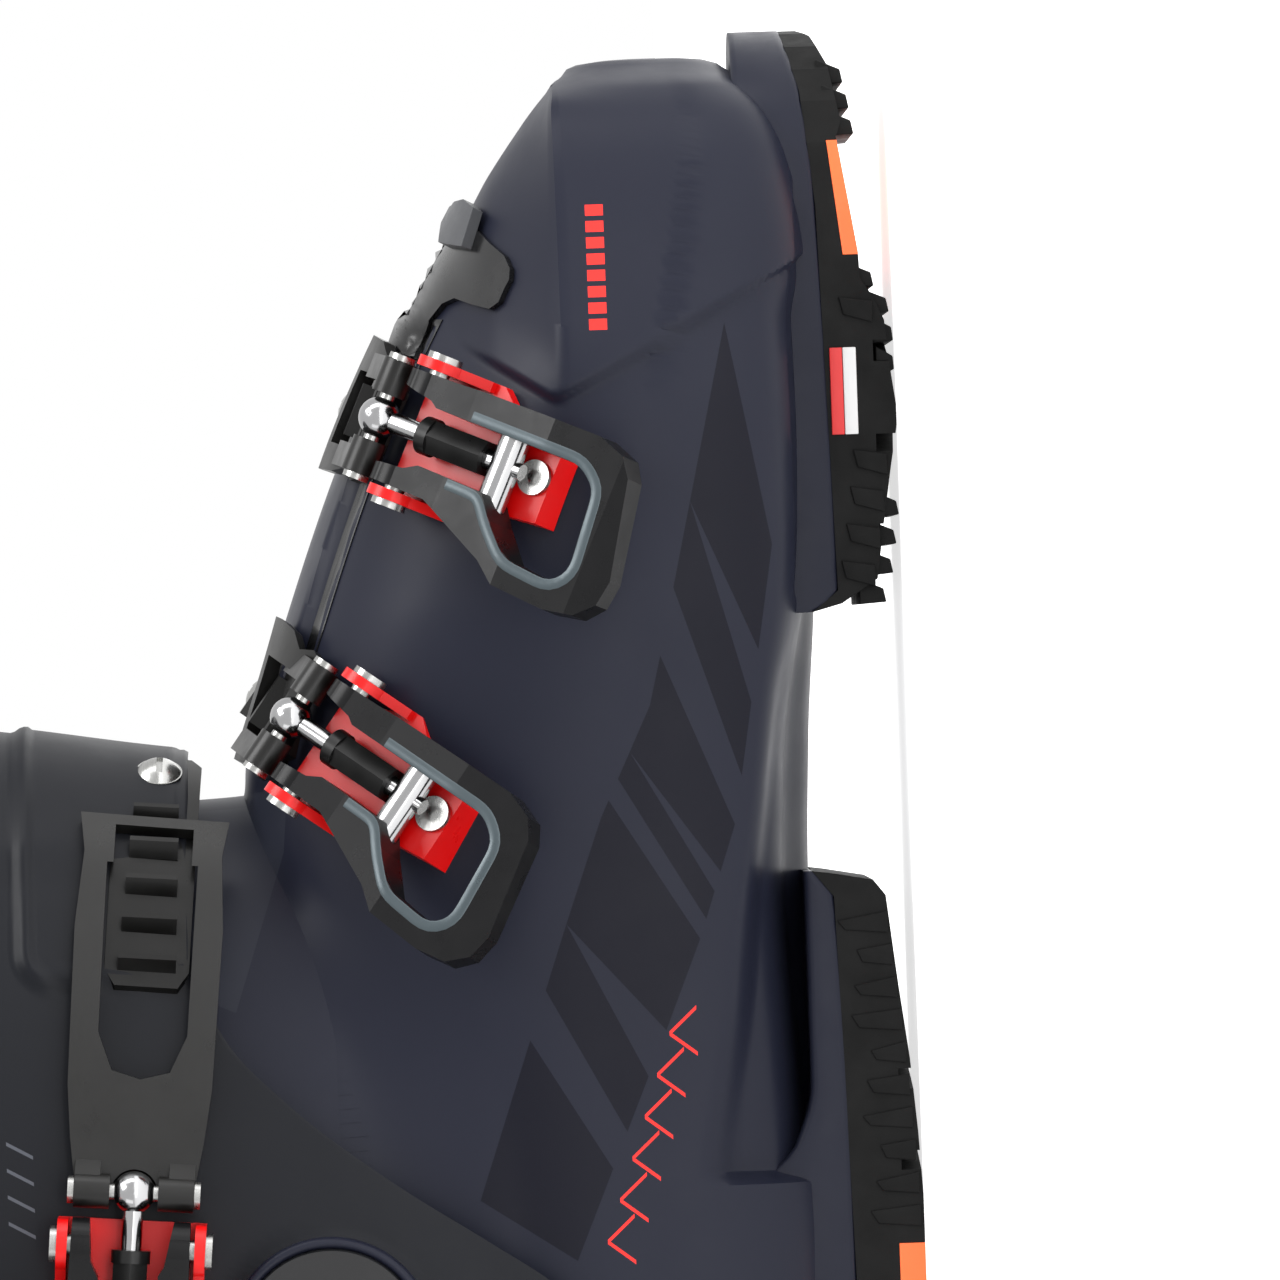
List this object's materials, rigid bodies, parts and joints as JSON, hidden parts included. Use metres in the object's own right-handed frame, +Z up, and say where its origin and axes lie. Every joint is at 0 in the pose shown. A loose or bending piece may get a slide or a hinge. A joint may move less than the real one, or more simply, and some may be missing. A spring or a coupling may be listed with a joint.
{
  "type": "alpine ski boot",
  "caption": "Rigid plastic ski boot for a right foot: lower shell, hinged cuff, liner, screwed walking soles and toothed-catch buckles that open on levers.",
  "frame": {"origin": "mid-sole mark: on the ground, on the sole's centreline, half way along the sole", "axes": "+X towards the toe, +Y towards the inner side of the foot, +Z up"},
  "size_m": [0.3101, 0.1375, 0.344],
  "materials": {
    "shell_plastic": "satin",
    "cuff_plastic": "satin",
    "board_plastic": "matte",
    "liner_fabric": "woven",
    "tongue_fabric": "woven",
    "gasket_rubber": "matte",
    "grey_plastic": "satin",
    "sole_rubber": "matte",
    "orange_plastic": "satin",
    "steel": "brushed",
    "strap_fabric": "webbing",
    "black_plastic": "satin",
    "dark_metal": "satin",
    "red_metal": "gloss",
    "lever_metal": "gloss",
    "chrome": "polished",
    "sleeve_steel": "satin",
    "bail_metal": "satin"
  },
  "bodies": {
    "shell": {"lower_shell": "shell_plastic", "boot_board": "board_plastic", "liner_foot": "liner_fabric", "toe_gasket": "gasket_rubber", "gasket_clip": "grey_plastic", "lap_seal": "gasket_rubber", "toe_sole": "sole_rubber", "toe_sole_insert": "orange_plastic", "heel_sole": "sole_rubber", "heel_sole_insert": "orange_plastic", "sole_screws": "steel", "pivot_bolts": "steel", "forefoot_catch": "dark_metal", "instep_catch": "dark_metal", "shell_catch_screws": "steel", "forefoot_buckle_base": "red_metal", "instep_buckle_base": "red_metal", "shell_base_rivets": "steel", "forefoot_lever_pins": "steel", "instep_lever_pins": "steel"},
    "cuff": {"cuff_shell": "cuff_plastic", "liner_shaft": "liner_fabric", "liner_tongue": "tongue_fabric", "power_strap": "strap_fabric", "power_strap_buckle": "black_plastic", "pivot_washers": "black_plastic", "spine_blade": "black_plastic", "spine_bolts": "steel", "lower_cuff_catch": "dark_metal", "upper_cuff_catch": "dark_metal", "cuff_catch_screws": "steel", "lower_cuff_buckle_base": "red_metal", "upper_cuff_buckle_base": "red_metal", "cuff_base_rivets": "steel", "lower_cuff_lever_pins": "steel", "upper_cuff_lever_pins": "steel"},
    "forefoot_lever": {"forefoot_lever": "lever_metal"},
    "forefoot_rod": {"forefoot_rod": "chrome"},
    "forefoot_sleeve": {"forefoot_sleeve": "sleeve_steel"},
    "forefoot_bail": {"forefoot_bail": "bail_metal", "forefoot_bail_pin": "steel"},
    "instep_lever": {"instep_lever": "lever_metal"},
    "instep_rod": {"instep_rod": "chrome"},
    "instep_sleeve": {"instep_sleeve": "sleeve_steel"},
    "instep_bail": {"instep_bail": "bail_metal", "instep_bail_pin": "steel"},
    "lower_cuff_lever": {"lower_cuff_lever": "lever_metal"},
    "lower_cuff_rod": {"lower_cuff_rod": "chrome"},
    "lower_cuff_sleeve": {"lower_cuff_sleeve": "sleeve_steel"},
    "lower_cuff_bail": {"lower_cuff_bail": "bail_metal", "lower_cuff_bail_pin": "steel"},
    "upper_cuff_lever": {"upper_cuff_lever": "lever_metal"},
    "upper_cuff_rod": {"upper_cuff_rod": "chrome"},
    "upper_cuff_sleeve": {"upper_cuff_sleeve": "sleeve_steel"},
    "upper_cuff_bail": {"upper_cuff_bail": "bail_metal", "upper_cuff_bail_pin": "steel"}
  },
  "joints": [
    {"name": "cuff_flex", "type": "hinge", "parent": "shell", "child": "cuff", "pos_m": [-0.093, 0, 0.113], "axis": [0, 1, 0], "range_deg": [0, 3], "stiffness_Nm_per_rad": 200},
    {"name": "forefoot_lever_open", "type": "hinge", "parent": "shell", "child": "forefoot_lever", "pos_m": [0.0776, -0.0489, 0.0909], "axis": [-0.9164, 0, 0.4002], "range_deg": [0, 105]},
    {"name": "forefoot_rod_swing", "type": "hinge", "parent": "forefoot_lever", "child": "forefoot_rod", "pos_m": [0.07046, -0.0577, 0.07454], "axis": [-0.9164, 0, 0.4002], "range_deg": [-126, 0]},
    {"name": "forefoot_sleeve_spin", "type": "hinge", "parent": "forefoot_rod", "child": "forefoot_sleeve", "pos_m": [0.07446, -0.05144, 0.08371], "axis": [-0.3394, -0.5299, -0.7772], "continuous": true},
    {"name": "forefoot_bail_lift", "type": "hinge", "parent": "forefoot_rod", "child": "forefoot_bail", "pos_m": [0.08067, -0.04175, 0.09793], "axis": [0.9164, 0, -0.4002], "range_deg": [0, 73.5]},
    {"name": "instep_lever_open", "type": "hinge", "parent": "shell", "child": "instep_lever", "pos_m": [0.01973, -0.04496, 0.11006], "axis": [-0.8088, 0, 0.5881], "range_deg": [0, 105]},
    {"name": "instep_rod_swing", "type": "hinge", "parent": "instep_lever", "child": "instep_rod", "pos_m": [0.0089, -0.05249, 0.09516], "axis": [-0.8088, 0, 0.5881], "range_deg": [-126, 0]},
    {"name": "instep_sleeve_spin", "type": "hinge", "parent": "instep_rod", "child": "instep_sleeve", "pos_m": [0.01502, -0.04695, 0.10359], "axis": [-0.5193, -0.4695, -0.7141], "continuous": true},
    {"name": "instep_bail_lift", "type": "hinge", "parent": "instep_rod", "child": "instep_bail", "pos_m": [0.02453, -0.03836, 0.11666], "axis": [0.8088, 0, -0.5881], "range_deg": [0, 73.5]},
    {"name": "lower_cuff_lever_open", "type": "hinge", "parent": "cuff", "child": "lower_cuff_lever", "pos_m": [-0.0739, -0.06, 0.15], "axis": [0.087, 0, 0.9962], "range_deg": [0, 105]},
    {"name": "lower_cuff_rod_swing", "type": "hinge", "parent": "lower_cuff_lever", "child": "lower_cuff_rod", "pos_m": [-0.09362, -0.058, 0.15172], "axis": [0.087, 0, 0.9962], "range_deg": [-126, 0]},
    {"name": "lower_cuff_sleeve_spin", "type": "hinge", "parent": "lower_cuff_rod", "child": "lower_cuff_sleeve", "pos_m": [-0.08187, -0.058, 0.1507], "axis": [-0.9962, 0, 0.087], "continuous": true},
    {"name": "lower_cuff_bail_lift", "type": "hinge", "parent": "lower_cuff_rod", "child": "lower_cuff_bail", "pos_m": [-0.06364, -0.058, 0.1491], "axis": [-0.087, 0, -0.9962], "range_deg": [0, 73.5]},
    {"name": "upper_cuff_lever_open", "type": "hinge", "parent": "cuff", "child": "upper_cuff_lever", "pos_m": [-0.064, -0.0615, 0.208], "axis": [0.156, 0, 0.9878], "range_deg": [0, 105]},
    {"name": "upper_cuff_rod_swing", "type": "hinge", "parent": "upper_cuff_lever", "child": "upper_cuff_rod", "pos_m": [-0.08356, -0.0595, 0.21109], "axis": [0.156, 0, 0.9878], "range_deg": [-126, 0]},
    {"name": "upper_cuff_sleeve_spin", "type": "hinge", "parent": "upper_cuff_rod", "child": "upper_cuff_sleeve", "pos_m": [-0.0719, -0.0595, 0.20925], "axis": [-0.9878, 0, 0.156], "continuous": true},
    {"name": "upper_cuff_bail_lift", "type": "hinge", "parent": "upper_cuff_rod", "child": "upper_cuff_bail", "pos_m": [-0.05383, -0.0595, 0.20639], "axis": [-0.156, 0, -0.9878], "range_deg": [0, 73.5]}
  ],
  "couplings": [
    {"joint": "forefoot_rod_swing", "follows": "forefoot_lever_open", "ratio": -1.2},
    {"joint": "forefoot_bail_lift", "follows": "forefoot_lever_open", "ratio": 0.7},
    {"joint": "instep_rod_swing", "follows": "instep_lever_open", "ratio": -1.2},
    {"joint": "instep_bail_lift", "follows": "instep_lever_open", "ratio": 0.7},
    {"joint": "lower_cuff_rod_swing", "follows": "lower_cuff_lever_open", "ratio": -1.2},
    {"joint": "lower_cuff_bail_lift", "follows": "lower_cuff_lever_open", "ratio": 0.7},
    {"joint": "upper_cuff_rod_swing", "follows": "upper_cuff_lever_open", "ratio": -1.2},
    {"joint": "upper_cuff_bail_lift", "follows": "upper_cuff_lever_open", "ratio": 0.7}
  ]
}
